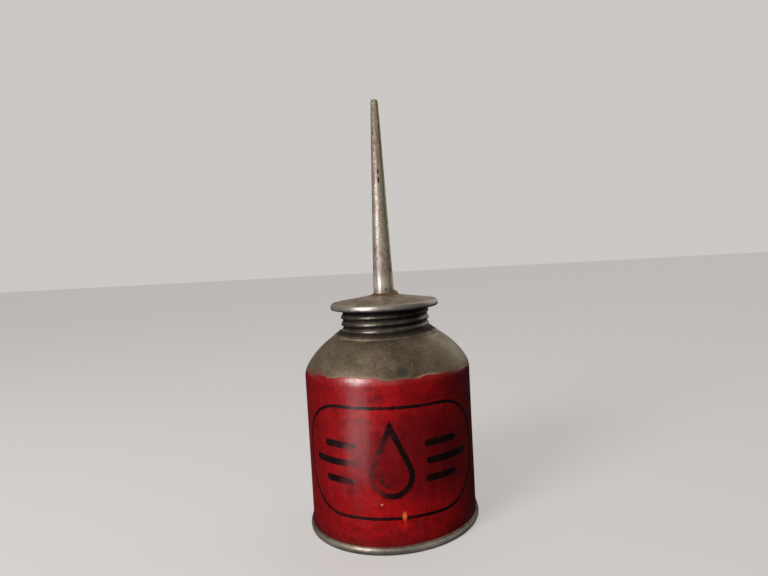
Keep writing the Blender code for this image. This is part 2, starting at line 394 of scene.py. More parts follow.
class Nodes:
    """One material, whose node tree is built by calls that return output sockets."""

    def __init__(self, name):
        self.material = bpy.data.materials.new(name)
        self.material.use_nodes = True
        self.tree = self.material.node_tree
        self.shader = self.tree.nodes["Principled BSDF"]
        self.place = self.tree.nodes.new("ShaderNodeTexCoord").outputs["Object"]
        split = self.tree.nodes.new("ShaderNodeSeparateXYZ")
        self.feed(split.inputs[0], self.place)
        x, y, self.z = split.outputs
        self.radius = self.length(x, y)
        self.angle = self.math("ARCTAN2", x, self.math("MULTIPLY", y, -1.0))

    def feed(self, socket, value):
        if isinstance(value, bpy.types.NodeSocket):
            self.tree.links.new(value, socket)
        else:
            socket.default_value = value

    def node(self, kind, **values):
        """A new node, with the inputs that are named here fed."""
        made = self.tree.nodes.new(kind)
        for name, value in values.items():
            self.feed(made.inputs[name], value)
        return made

    def math(self, operation, *values):
        node = self.tree.nodes.new("ShaderNodeMath")
        node.operation = operation
        for socket, value in zip(node.inputs, values):
            self.feed(socket, value)
        return node.outputs[0]

    def plus(self, first, second):
        return self.math("ADD", first, second)

    def minus(self, first, second):
        return self.math("SUBTRACT", first, second)

    def length(self, across, along):
        squares = [self.math("MULTIPLY", value, value) for value in (across, along)]
        return self.math("SQRT", self.plus(*squares))

    def rise(self, value, low, high):
        """0 below low and 1 above high, with a smooth change between; the other way if low > high."""
        node = self.tree.nodes.new("ShaderNodeMapRange")
        node.interpolation_type = "SMOOTHSTEP"
        for socket, number in zip(node.inputs, (value, low, high)):
            self.feed(socket, number)
        return node.outputs[0]

    def scale(self, value, low, high):
        """A 0 to 1 value spread over low to high."""
        return self.math("MULTIPLY_ADD", value, high - low, low)

    def both(self, *values):
        result = values[0]
        for value in values[1:]:
            result = self.math("MULTIPLY", result, value)
        return result

    def either(self, *values):
        result = values[0]
        for value in values[1:]:
            result = self.math("MAXIMUM", result, value)
        return result

    def opposite(self, value):
        return self.minus(1.0, value)

    def texture(self, kind, size, offset, stretch):
        """A texture node of the object's own coordinates, scaled to size times stretch."""
        scale = [1 / (size * MM * s) for s in stretch]
        mapping = self.node("ShaderNodeMapping", Vector=self.place, Location=offset, Scale=scale)
        return self.node(kind, Vector=mapping.outputs[0], Scale=1.0)

    def spots(self, size, seed, detail=3.0, rough=0.55, stretch=(1, 1, 1)):
        """Cloudy noise, about 0 to 1, whose patches are about size across times stretch."""
        node = self.texture("ShaderNodeTexNoise", size, (seed, seed * 1.7, -seed), stretch)
        self.feed(node.inputs["Detail"], detail)
        self.feed(node.inputs["Roughness"], rough)
        return node.outputs[0]

    def patches(self, size, seed, low, high, **noise):
        """Cloudy noise cut into patches: 0 where it is below low, and 1 where it is above high."""
        return self.rise(self.spots(size, seed, **noise), low, high)

    def cells(self, size, seed):
        """Distance from the nearest of many scattered points, in units of their spacing."""
        node = self.texture("ShaderNodeTexVoronoi", size, (seed, -seed, seed * 0.6), (1, 1, 1))
        return node.outputs["Distance"]

    def pits(self, size, seed, outer, inner):
        """Round pits at scattered points: 1 nearer to one than inner, and 0 beyond outer."""
        return self.rise(self.cells(size, seed), outer, inner)

    def mix(self, factor, first, second):
        """Two colours mixed by a 0 to 1 factor. Each is a socket, or a screen colour."""
        node = self.tree.nodes.new("ShaderNodeMix")
        node.data_type = "RGBA"
        self.feed(node.inputs[0], factor)
        for socket, colour in ((node.inputs[6], first), (node.inputs[7], second)):
            self.feed(socket, srgb(*colour) if isinstance(colour, tuple) else colour)
        return node.outputs[2]

    def tinted(self, colour, *layers):
        """The colour under layers, each of them (where it lies, how much of it, screen colour)."""
        for where, amount, tint in layers:
            colour = self.mix(self.both(where, amount), colour, tint)
        return colour

    def finish(self, colour, roughness, metallic, heights, specular=0.5):
        """Feeds the shader. heights are (value, depth in mm) pairs that make the fine relief."""
        inputs = self.shader.inputs
        self.feed(inputs["Base Color"], colour)
        self.feed(inputs["Roughness"], roughness)
        self.feed(inputs["Metallic"], metallic)
        self.feed(inputs["Specular IOR Level"], specular)
        below = {}
        for value, depth in heights:
            bump = self.node("ShaderNodeBump", Strength=1.0, Distance=depth * MM, Height=value, **below)
            below = {"Normal": bump.outputs[0]}
        self.feed(inputs["Normal"], below["Normal"])
        return self.material


def near(nodes, at_angle, at_height, half_width, half_height, wall=BODY_RADIUS):
    """0 in the middle of an oval patch on a round wall, 1 on its edge, and more outside."""
    turn = nodes.minus(nodes.angle, math.radians(at_angle))
    across = nodes.math("DIVIDE", nodes.math("MULTIPLY", turn, wall), half_width * MM)
    along = nodes.math("DIVIDE", nodes.minus(nodes.z, at_height * MM), half_height * MM)
    return nodes.length(across, along)


def arc(nodes, start, full, end_full, end):
    """1 between the angles full and end_full, fading to 0 at start and end."""
    starts = nodes.rise(nodes.angle, math.radians(start), math.radians(full))
    ends = nodes.rise(nodes.angle, math.radians(end), math.radians(end_full))
    return nodes.both(starts, ends)


def rounded_box(nodes, across, along, half_width, half_height, corner):
    """Distance outside a rounded rectangle drawn on the wall, negative inside."""
    beyond_x = nodes.minus(nodes.math("ABSOLUTE", across), half_width - corner)
    beyond_z = nodes.minus(nodes.math("ABSOLUTE", along), half_height - corner)
    outside = nodes.length(nodes.either(beyond_x, 0.0), nodes.either(beyond_z, 0.0))
    inside = nodes.math("MINIMUM", nodes.either(beyond_x, beyond_z), 0.0)
    return nodes.minus(nodes.plus(outside, inside), corner)


def oil_drop(nodes, across, along):
    """Distance outside a drop with a round bottom centred on 0, 0 and its point above."""
    lean = DROP_RADIUS / DROP_POINT
    rest = math.sqrt(1 - lean * lean)
    side = nodes.math("ABSOLUTE", across)
    ball = nodes.minus(nodes.length(side, along), DROP_RADIUS)
    flank = nodes.math("MULTIPLY_ADD", side, rest, nodes.math("MULTIPLY_ADD", along, lean, -DROP_RADIUS))
    upward = nodes.math("MULTIPLY_ADD", side, -lean, nodes.math("MULTIPLY", along, rest))
    above = nodes.math("GREATER_THAN", upward, 0.0)
    return nodes.plus(nodes.both(above, flank), nodes.both(nodes.opposite(above), ball))


def stroke(nodes, distance, half_width):
    """A line of ink along the places where distance is 0."""
    return nodes.rise(nodes.math("ABSOLUTE", distance), half_width + INK_EDGE, half_width - INK_EDGE)


def printed_panel(nodes):
    """Where the can's black line printing is: a border, and a drop between sets of rules."""
    across = nodes.math("MULTIPLY_ADD", nodes.angle, BODY_RADIUS, PANEL_LEFT)
    along = nodes.math("MULTIPLY_ADD", across, PANEL_SLOPE, nodes.minus(nodes.z, PANEL_HEIGHT))
    up_drop = nodes.plus(along, DROP_LOW)
    gleam = nodes.minus(nodes.length(nodes.plus(across, 0.2 * MM), up_drop), GLEAM_RADIUS)
    lower_left = nodes.both(
        nodes.rise(across, -0.4 * MM, -0.8 * MM), nodes.rise(up_drop, 0.6 * MM, 0.2 * MM)
    )
    marks = [
        stroke(nodes, rounded_box(nodes, across, along, *BORDER), BORDER_LINE),
        stroke(nodes, oil_drop(nodes, across, up_drop), DROP_LINE),
        nodes.both(stroke(nodes, gleam, GLEAM_LINE), lower_left),
    ]
    side = nodes.math("ABSOLUTE", across)
    for height, start, end in RULES:
        from_middle = nodes.minus(side, (start + end) / 2 * MM)
        above = nodes.minus(along, height * MM)
        rule = rounded_box(nodes, from_middle, above, (end - start) / 2 * MM, RULE_HALF, RULE_HALF)
        marks.append(nodes.rise(rule, INK_EDGE, -INK_EDGE))
    return nodes.either(*marks)


def paint_edge(nodes):
    """1 on the enamelled wall and 0 on the bare shoulder, and the uneven height that decides it."""
    wave = nodes.scale(nodes.spots(7, 5, detail=2), -0.9 * MM, 0.9 * MM)
    nick = nodes.scale(nodes.spots(0.9, 6, detail=4, rough=0.7), -0.35 * MM, 0.35 * MM)
    height = nodes.plus(nodes.z, nodes.plus(wave, nick))
    for start, end, dip in PAINT_DIPS:
        lower = nodes.rise(nodes.angle, math.radians(start), math.radians(end))
        height = nodes.math("MULTIPLY_ADD", lower, dip * MM, height)
    return nodes.rise(height, PAINT_TOP + 0.1 * MM, PAINT_TOP - 0.1 * MM), height


def enamel_colour(nodes):
    """The red enamel: deep and light clouds, faded vertical streaks and fine dark specks, with painted
    shade that darkens its left side and, more strongly, its right side.
    """
    clouds = nodes.patches(11, 1, 0.35, 0.68, detail=4)
    mottle = nodes.patches(1.6, 2, 0.38, 0.7, detail=5, rough=0.7)
    streaks = nodes.patches(2.6, 3, 0.52, 0.74, detail=4, stretch=(1, 1, 6))
    specks = nodes.patches(0.45, 4, 0.66, 0.74, detail=2)
    smears = nodes.patches(3.4, 16, 0.5, 0.72, detail=4, stretch=(2, 2, 1))
    # A darker oval of enamel just right of the front's middle
    darker_oval = nodes.rise(near(nodes, 14, 33, 24, 18), 1.15, 0.5)
    return nodes.tinted(
        nodes.mix(clouds, (160, 11, 18), (196, 16, 22)),
        (darker_oval, 0.8, (116, 9, 14)),
        # Painted shade: the enamel darker on its left side and darker still on its right side
        (arc(nodes, -170, -120, -60, -10), 0.8, (112, 10, 15)),
        (arc(nodes, 40, 68, 120, 170), 0.8, (84, 5, 8)),
        (mottle, 0.55, (108, 8, 13)),
        (smears, 0.5, (80, 8, 12)),
        (streaks, 0.22, (176, 48, 52)),
        (specks, 0.6, (62, 8, 10)),
    )


def worn_ink(nodes):
    """How much printing is left at each place, thinnest where a hand rubs it, and its colour."""
    rubbed = nodes.patches(2.4, 7, 0.5, 0.66, detail=5, rough=0.65)
    rubbed_side = nodes.rise(near(nodes, -17, 31, 9, 15), 1.3, 0.4)
    scuffs = nodes.patches(1.3, 8, 0.34, 0.6, detail=4)
    thin_ink = nodes.either(nodes.both(rubbed, 0.3), nodes.both(rubbed_side, scuffs))
    amount = nodes.both(printed_panel(nodes), nodes.opposite(nodes.both(thin_ink, 0.75)))
    return amount, nodes.mix(rubbed_side, (26, 8, 10), (46, 36, 34))


def paint_chips(nodes, edge_height):
    """Chips scattered over the wall, with more of them at its foot and along the enamel's edge."""
    chip_size = nodes.scale(nodes.spots(12, 10, detail=1), 0.0, 0.11)
    scattered = nodes.math("LESS_THAN", nodes.cells(8.5, 11), chip_size)
    at_foot = nodes.rise(nodes.z, 12 * MM, 4 * MM)
    at_edge = nodes.rise(edge_height, PAINT_TOP - 5 * MM, PAINT_TOP)
    small = nodes.both(
        nodes.either(at_foot, at_edge), nodes.patches(0.8, 12, 0.62, 0.66, detail=4, rough=0.7)
    )
    return nodes.either(scattered, nodes.both(small, 0.8))


def enamelled_body():
    """Red enamel with black printing on the wall, chipped here and there, and a bare tinned shoulder."""
    nodes = Nodes("red_enamel")
    painted, edge_height = paint_edge(nodes)
    unpainted = nodes.opposite(painted)
    ink, ink_colour = worn_ink(nodes)
    grime = nodes.both(
        nodes.rise(nodes.z, 7.5 * MM, 2.6 * MM), nodes.scale(nodes.spots(3, 9, detail=4), 0.25, 1.0)
    )
    chips = paint_chips(nodes, edge_height)
    drip = near(nodes, 5.6, 10.6, 0.75, 2.6)
    big_chip = near(nodes, 5.3, 13.2, 0.85, 1.55)
    bare_chip = nodes.rise(big_chip, 1.08, 0.92)
    fleck = near(nodes, -8.3, 17.6, 0.42, 0.4)
    enamel = nodes.tinted(
        nodes.mix(ink, enamel_colour(nodes), ink_colour),
        (grime, 0.7, (62, 14, 12)),
        (chips, 1.0, (74, 22, 16)),
        (nodes.rise(drip, 1.3, 0.3), 0.75, (214, 34, 18)),
        (bare_chip, 1.0, (246, 84, 34)),
        (nodes.rise(big_chip, 0.6, 0.35), 1.0, (206, 150, 92)),
        (nodes.rise(fleck, 1.1, 0.7), 1.0, (226, 150, 124)),
    )

    tin, tin_rough = bare_tin(nodes)
    line = nodes.both(nodes.rise(edge_height, PAINT_TOP + 0.75 * MM, PAINT_TOP), unpainted)
    thin_coat = nodes.rise(edge_height, PAINT_TOP + 2.4 * MM, PAINT_TOP)
    misty = nodes.scale(nodes.spots(1.1, 17, detail=5, rough=0.7), 0.3, 1.0)
    sides = nodes.either(arc(nodes, -110, -80, -52, -40), nodes.both(arc(nodes, 40, 60, 100, 140), 0.6))
    tin = nodes.tinted(
        tin,
        (line, 0.55, (150, 126, 96)),
        (nodes.both(line, arc(nodes, 15, 21, 31, 37)), 0.9, (214, 190, 152)),
        (nodes.both(thin_coat, misty, sides), 0.75, (136, 44, 38)),
    )

    enamel_rough = nodes.scale(nodes.spots(3.5, 13, detail=5, rough=0.6), 0.16, 0.38)
    roughness = nodes.plus(nodes.both(painted, enamel_rough), nodes.both(unpainted, tin_rough))
    relief = (
        (painted, 0.05),
        (nodes.either(chips, bare_chip), -0.05),
        (nodes.spots(1.9, 14), 0.06),
        (nodes.spots(0.3, 15, detail=2, stretch=(1, 1, 12)), 0.008),
        (ink, 0.008),
    )
    colour = nodes.mix(painted, tin, enamel)
    return nodes.finish(colour, roughness, nodes.both(unpainted, 0.6), relief, specular=0.8)


def bare_tin(nodes):
    """Colour and roughness of the shoulder's old tin: olive brown clouds, smudges and fine grain, with a
    painted reflection of a pale wall that makes its right side paler, and its left side very slightly.
    """
    clouds = nodes.patches(8, 20, 0.34, 0.68, detail=5, rough=0.6)
    violet = nodes.patches(6, 21, 0.5, 0.7, detail=4, rough=0.6)
    olive = nodes.patches(4.5, 26, 0.48, 0.66, detail=4, rough=0.6)
    wiped = nodes.patches(1.5, 25, 0.4, 0.7, detail=5, rough=0.7, stretch=(2, 2, 1))
    flecks = [nodes.patches(1.1, seed, 0.54, 0.7, detail=3, rough=0.6) for seed in (27, 28, 29)]
    grain = nodes.patches(0.5, 22, 0.35, 0.75, detail=4, rough=0.75)
    uneven = nodes.scale(clouds, 0.5, 1.0)
    smudge = near(nodes, 9.2, 62.6, 2.5, 1.7)
    colour = nodes.tinted(
        nodes.mix(clouds, (100, 83, 64), (152, 134, 112)),
        (violet, 0.75, (134, 98, 86)),
        (olive, 0.6, (108, 102, 68)),
        (wiped, 0.4, (92, 82, 60)),
        (flecks[0], 0.5, (128, 80, 72)),
        (flecks[1], 0.5, (96, 98, 56)),
        (flecks[2], 0.5, (162, 144, 118)),
        (grain, 0.9, (74, 60, 46)),
        (nodes.pits(1.7, 23, 0.2, 0.09), 0.4, (46, 38, 28)),
        # Painted reflection of a pale wall: paler tin on the right of the shoulder, and very faintly on
        # the left
        (nodes.both(arc(nodes, 22, 62, 120, 160), uneven), 0.6, (176, 166, 134)),
        (nodes.both(arc(nodes, -150, -110, -60, -35), uneven), 0.06, (160, 140, 110)),
        (nodes.rise(smudge, 1.3, 0.4), 0.72, (46, 48, 42)),
    )
    return colour, nodes.scale(nodes.spots(4, 24, detail=5), 0.42, 0.66)


def aged_tin(name, seed, colours, roughness=(0.3, 0.5), stretch=(1, 1, 1), overlays=(), metallic=0.7):
    """Old tinned steel in a bright, a dull and a stained colour: cloudy patches, fine grain and pits.

    Each overlay is a function of the nodes, which returns where it lies, its colour, and the
    roughness that it adds.
    """
    bright, dull, stained = colours
    nodes = Nodes(name)
    clouds = nodes.patches(6, seed, 0.35, 0.68, detail=5, rough=0.6)
    stains = nodes.patches(3, seed + 1, 0.54, 0.7, detail=5, rough=0.65)
    grain = nodes.spots(0.4, seed + 2, detail=4, rough=0.7, stretch=stretch)
    pits = nodes.pits(1.5, seed + 3, 0.17, 0.07)
    colour = nodes.tinted(
        nodes.mix(clouds, dull, bright), (stains, 0.6, stained), (grain, 0.35, dull), (pits, 0.45, stained)
    )
    rough = nodes.scale(nodes.spots(2.5, seed + 4, detail=5), *roughness)
    for overlay in overlays:
        where, tint, rougher = overlay(nodes)
        colour = nodes.mix(where, colour, tint)
        rough = nodes.plus(rough, nodes.both(where, rougher))
    return nodes.finish(colour, rough, metallic, ((pits, -0.03), (grain, 0.015), (clouds, 0.05)))


def rust_patches(seed, size, share, colour=(104, 58, 26)):
    """Overlay of ragged rust; a larger share gives more of it."""

    def overlay(nodes):
        ragged = nodes.patches(size, seed, 0.78 - share, 0.86 - share, detail=6, rough=0.7)
        return nodes.both(ragged, 0.85), colour, 0.35

    return overlay


def band(of, low, high, seed, colour, amount=0.85, rougher=0.25, size=2):
    """Overlay that fades in from low to high mm of height (z) or radius, broken up by clouds."""

    def overlay(nodes):
        faded = nodes.rise(getattr(nodes, of), low * MM, high * MM)
        clouds = nodes.scale(nodes.spots(size, seed, detail=4), 0.45, 1.25)
        return nodes.math("MINIMUM", nodes.both(faded, clouds, amount), 1.0), colour, rougher

    return overlay


def gasket_leather():
    """Dark oily leather, finely creased, paler where it is scuffed."""
    nodes = Nodes("gasket_leather")
    fibres = nodes.spots(0.5, 60, detail=5, rough=0.7)
    creases = nodes.cells(0.9, 61)
    scuffed = nodes.mix(nodes.rise(fibres, 0.35, 0.75), (34, 26, 20), (66, 50, 38))
    colour = nodes.mix(nodes.rise(creases, 0.12, 0.02), scuffed, (18, 14, 11))
    return nodes.finish(colour, nodes.scale(fibres, 0.5, 0.8), 0.0, ((creases, 0.08), (fibres, 0.05)))


# -------- pieces


def piece(name, node, body, material, shape, inner_material=None, warp=None):
    """One visible piece, in place of its CAD node and moving with its body."""
    made = turned(name, shape, material, inner_material, warp)
    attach(made, body)
    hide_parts(node)
    return made


def body_warp(angle, radius, height):
    """The dents and slow waves of the wall and shoulder, none where the rim grips its foot."""
    free = past(height, 3.5, 6) * past(height, 73, -3)
    sideways = ripple(1, 14, 0.07)(angle, height) + dented(angle, height, DENTS, BODY_RADIUS)
    return radius + sideways * free, height


def build_body():
    shape = smoothed(*cad_outline("body_shell"), 1.3 * MM, corner_angle=50)
    colours = ((96, 88, 70), (60, 52, 40), (40, 30, 20))
    oily = aged_tin("oily_tin_inside", 70, colours, roughness=(0.15, 0.4))
    enamel = enamelled_body()
    piece("body_shell_metal", "body_shell", "can", enamel, shape, oily, body_warp)


def painted_light_rim_sides(nodes):
    """Overlay of painted light on the rim to the left and right of the can's front: paler metal on its
    upper part, a little rougher.
    """
    left = nodes.both(arc(nodes, -135, -70, -45, -25), 0.25)
    right = nodes.both(arc(nodes, 0, 24, 36, 120), 0.9)
    on_crest = nodes.rise(nodes.z, 0.5 * MM, 1.0 * MM)
    uneven = nodes.scale(nodes.spots(1.4, 83, detail=5, rough=0.7), 0.3, 1.5)
    where = nodes.math("MINIMUM", nodes.both(nodes.either(left, right), on_crest, uneven), 1.0)
    return where, (250, 242, 222), 0.16


def build_rim():
    shape = smoothed(*cad_outline("bottom_rim"), 0.25 * MM, radius=0.12 * MM)
    inward = ripple(5, 5, 0.06)

    def warp(angle, radius, height):
        round_off = np.minimum(0.4 * ((height - RIM_MIDDLE) / RIM_HALF) ** 2, 0.34) * MM
        return radius - (0.06 * MM + inward(angle, height) + round_off) * past(radius, 32, 0.5), height

    tin = aged_tin(
        "rim_tin",
        80,
        ((184, 174, 160), (124, 112, 96), (80, 62, 48)),
        roughness=(0.26, 0.44),
        metallic=0.75,
        overlays=(
            # Painted light on the rim's left and right sides
            painted_light_rim_sides,
            rust_patches(86, 2.2, 0.08),
            band("z", 2.15, 2.7, 87, (88, 44, 38), 0.9),
            # Painted shade: darker towards the rim's lower edge, by the floor
            band("z", 0.8, 0.1, 88, (58, 48, 38), 0.8),
            band("radius", 31.6, 30.6, 89, (66, 56, 46), 0.75),
        ),
    )
    piece("bottom_rim_metal", "bottom_rim", "can", tin, shape, warp=warp)


def threaded(node, thread, raised):
    """The node's outline with its thread taken off, and the warp that rolls the thread back in.

    raised is 1 where the thread's crests stand out of a plain sleeve, and 0 where its grooves are
    pressed into one.
    """
    outline, closed = cad_outline(node)

    def out(depth, height):
        return THREAD_DEPTH * (raised - depth) * thread_fade(height, *thread)

    plain = [np.array((r - out(even_groove(math.pi / 2, z), z), z)) for r, z in outline]
    shape = smoothed(plain, closed, 0.14 * MM)

    def warp(angle, radius, height):
        on_sleeve = smooth_step((SKIRT_RADIUS - radius) / (0.4 * MM))
        return radius + out(groove(angle, height), height) * on_sleeve, height

    return shape, warp


def dirt_and_shade_at_foot(nodes):
    """Overlay of black dirt and painted shade in the corner where the neck meets its skirt."""
    ragged = nodes.scale(nodes.spots(1.2, 94, detail=4), 0.5, 1.3)
    ring = nodes.both(nodes.rise(nodes.z, 74.75 * MM, 74.3 * MM), ragged)
    return nodes.math("MINIMUM", ring, 0.92), (34, 27, 20), 0.4


def build_neck():
    shape, warp = threaded("neck_ring", NECK_THREAD, 0)
    in_grooves = band("radius", 16.72, 16.35, 96, (16, 12, 9), 1.1, 0.3)
    # Painted shadow of the flange: the top of the neck darkened under the cap's overhang
    shade = band("z", 79.9, 81.2, 98, (34, 31, 30), 0.9, 0.3)
    overlays = (in_grooves, shade, dirt_and_shade_at_foot)
    tin = aged_tin("neck_tin", 90, DIRTY_TIN, DIRTY_TIN_ROUGHNESS, overlays=overlays)
    piece("neck_ring_metal", "neck_ring", "can", tin, shape, warp=warp)


def build_collar():
    shape, warp = threaded("cap_collar", COLLAR_THREAD, 1)
    in_grooves = band("radius", 15.8, 15.25, 106, (30, 22, 15), 0.85, 0.2)
    tin = aged_tin("collar_tin", 100, DIRTY_TIN, DIRTY_TIN_ROUGHNESS, overlays=(in_grooves,))
    piece("cap_collar_metal", "cap_collar", "cap", tin, shape, warp=warp)


def squared(part):
    """A sine or cosine pushed towards 1 and -1, which squares the circle that it draws."""
    return np.sign(part) * np.abs(part) ** CURL_SQUARENESS


def flange_warp(angle, radius, height):
    """The cone waves up and down a little, and the round curl of its edge is pressed squarer."""
    on_cone = past(radius, 8, 4) * past(radius, 20.4, -2)
    height = height + ripple(7, 8, 0.10)(angle, height * 0) * on_cone
    out, up = (radius - CURL_RADIUS) / CURL_SIZE, (height - CURL_HEIGHT) / CURL_SIZE
    reach = np.hypot(out, up)
    way = np.arctan2(up, out)
    flat_out = squared(np.cos(way)) * reach * CURL_SIZE
    flat_up = squared(np.sin(way)) * reach * CURL_HALF_HEIGHT
    pressed_radius = CURL_RADIUS - 0.03 * MM + flat_out - CURL_TILT * flat_up
    pressed_height = CURL_HEIGHT - 0.17 * MM + flat_up
    on_curl = past(radius, 18.9, 0.9)
    return (
        radius + (np.minimum(pressed_radius, FLANGE_RADIUS) - radius) * on_curl,
        height + (pressed_height - height) * on_curl,
    )


def build_flange():
    shape = smoothed(*cad_outline("cap_flange"), 0.3 * MM)
    tin = aged_tin(
        "flange_tin",
        110,
        ((174, 156, 134), (128, 112, 90), (60, 47, 36)),
        roughness=(0.46, 0.62),
        overlays=(
            rust_patches(118, 3, 0.08),
            band("radius", 19.6, 20.4, 115, (182, 176, 170), 0.75, -0.3),
            # Painted shade on the lower part of the curled edge, under the flange
            band("z", 83.2, 82.7, 116, (40, 34, 28)),
            band("radius", 7.0, 4.8, 117, (120, 78, 44), 0.85, 0.2),
        ),
    )
    piece("cap_flange_metal", "cap_flange", "cap", tin, shape, warp=flange_warp)


def build_gasket():
    """The washer, a little thicker than in CAD so that it fills the joint between neck and cap."""
    low, high = 82.15, 84.35
    inner, outer, bulge, swell = 15.7, 17.6, 17.9, 0.3
    points = [(inner, low), (outer, low), (bulge, low + swell)]
    points += [(bulge, high - swell), (outer, high), (inner, high)]
    shape = smoothed(in_mm(points), True, 0.3 * MM, radius=0.2 * MM)
    wander = ripple(9, 3, 0.06)

    def warp(angle, radius, height):
        return radius + wander(angle, height), height

    leather = gasket_leather()
    piece("gasket_leather_washer", "cap_gasket", "gasket", leather, shape, warp=warp)


def build_spout():
    """The drawn tube, seamed down its back, with the slight wavering of a knocked spout."""
    shape = smoothed(*cad_outline("spout_tube"), 0.9 * MM, radius=0.06 * MM)
    waver = ripple(11, 16, 0.012)

    def warp(angle, radius, height):
        from_back = angle % FULL_TURN - math.pi
        seam = 0.08 * MM * np.exp(-((from_back * radius / (0.3 * MM)) ** 2))
        moved = waver(angle, height) + seam + dented(angle, height, SPOUT_NICKS, NICKED_RADIUS)
        return radius + (moved + 0.07 * MM) * past(height, 88.5, 4) * past(height, 159, -6), height

    steel = spout_metal()
    tube = piece("spout_tube_metal", "spout_tube", "cap", steel, shape, warp=warp)
    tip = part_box("spout_tube")[1]
    for vertex in tube.data.vertices:
        vertex.co.x += SPOUT_LEAN * max(0.0, vertex.co.z - SPOUT_FOOT) / (tip.z - SPOUT_FOOT)


def lit_and_yellowed_right_side(nodes):
    """Overlay on the right side of the spout: painted light that makes the steel paler there, and a
    yellowish tone.
    """
    clouds = nodes.scale(nodes.spots(3, 126, detail=4, stretch=(1, 1, 4)), 0.3, 1.1)
    return nodes.both(arc(nodes, -5, 40, 110, 170), clouds, 0.85), (240, 226, 180), 0.04


def painted_dark_edges(nodes):
    """Overlay of darker stripes that run down both sides of the spout: a painted reflection of dark
    surroundings at its edges.
    """
    left = arc(nodes, -150, -110, -80, -62)
    right = nodes.either(arc(nodes, 38, 46, 50, 58), arc(nodes, 70, 84, 110, 150))
    return nodes.both(nodes.either(left, right), 0.4), (92, 82, 60), 0.1


def mauve(nodes):
    """Overlay of long mauve patches on the spout."""
    long_patches = nodes.patches(5, 131, 0.46, 0.62, detail=4, stretch=(1, 1, 3))
    return nodes.both(long_patches, 0.5), (166, 142, 138), 0.05


def speckled(nodes):
    """Overlay of fine brown speckle on the spout above its polished foot."""
    fine = nodes.patches(0.7, 129, 0.42, 0.6, detail=4, rough=0.75, stretch=(1, 1, 1.6))
    blotch = nodes.scale(nodes.spots(5, 123, stretch=(1, 1, 2)), 0.4, 1.2)
    above = nodes.rise(nodes.z, 92 * MM, 99 * MM)
    return nodes.both(fine, blotch, above, 0.7), (98, 80, 62), 0.1


def dark_specks(nodes):
    """Overlay of the larger dark specks of the spout."""
    specks = [nodes.rise(near(nodes, *speck, wall=nodes.radius), 1.15, 0.6) for speck in SPOUT_SPECKS]
    return nodes.both(nodes.either(*specks), 0.9), (46, 30, 20), 0.3


def spout_metal():
    """Brighter steel with lengthwise grain: polished at its foot, yellowed towards its tip."""
    return aged_tin(
        "spout_steel",
        120,
        ((206, 198, 186), (176, 164, 148), (122, 102, 84)),
        roughness=(0.34, 0.52),
        stretch=(1, 1, 5),
        overlays=(
            band("z", 97, 92, 125, (232, 228, 220), 0.9, -0.2),
            band("z", 126, 150, 124, (138, 120, 92), size=5),
            mauve,
            # Painted light that pales the spout's right side, with a yellowish tone
            lit_and_yellowed_right_side,
            speckled,
            # Painted reflection of dark surroundings along both edges of the spout
            painted_dark_edges,
            band("z", 91, 88.4, 127, (128, 84, 48), 0.7, 0.2),
            rust_patches(128, 1.2, 0.07, (92, 60, 34)),
            dark_specks,
        ),
        metallic=0.55,
    )


def bead(name, node, body, points, rust, seed, uneven, lump=None, overlays=()):
    """A fillet of solder between two pieces: closed outline in mm, and uneven all round."""
    shape = smoothed(in_mm(points), True, 0.25 * MM, radius=0.15 * MM)
    middle = np.mean(shape[0], axis=0)
    bulge = ripple(seed, 2.5, uneven)

    def warp(angle, radius, height):
        swell = 1 + bulge(angle * 3, height) / (0.6 * MM)
        radius = middle[0] + (radius - middle[0]) * swell
        height = middle[1] + (height - middle[1]) * swell
        if lump:
            at_angle, width, out, up = lump
            share = np.exp(-((turn_from(angle, at_angle) / math.radians(width)) ** 2))
            raised = np.clip((height - middle[1]) / (0.4 * MM), 0, 1)
            radius = radius + out * MM * share * (radius > middle[0])
            height = height + up * MM * share * raised
        return radius, height

    solder = aged_tin(
        name + "_finish",
        seed + 30,
        ((150, 140, 122), (104, 92, 76), (84, 60, 42)),
        roughness=(0.4, 0.65),
        overlays=(rust_patches(seed + 35, 1.4, rust), *overlays),
    )
    piece(name, node, body, solder, shape, warp=warp)


def ragged_dirt(nodes):
    """Overlay of black dirt on the inner half of the solder round the neck, with a ragged edge."""
    wander = nodes.scale(nodes.spots(1.3, 148, detail=5, rough=0.7), -1.1 * MM, 1.1 * MM)
    ring = nodes.rise(nodes.plus(nodes.radius, wander), 19.0 * MM, 18.75 * MM)
    return nodes.both(ring, 0.62), (50, 40, 30), 0.2


def pale_lump(nodes):
    """Overlay on the scrap of solder that stands beside the spout, paler than the rest."""
    beside = nodes.both(arc(nodes, 62, 72, 96, 106), nodes.rise(nodes.z, 87.3 * MM, 87.8 * MM))
    return nodes.both(beside, 0.8), (190, 162, 122), 0.0


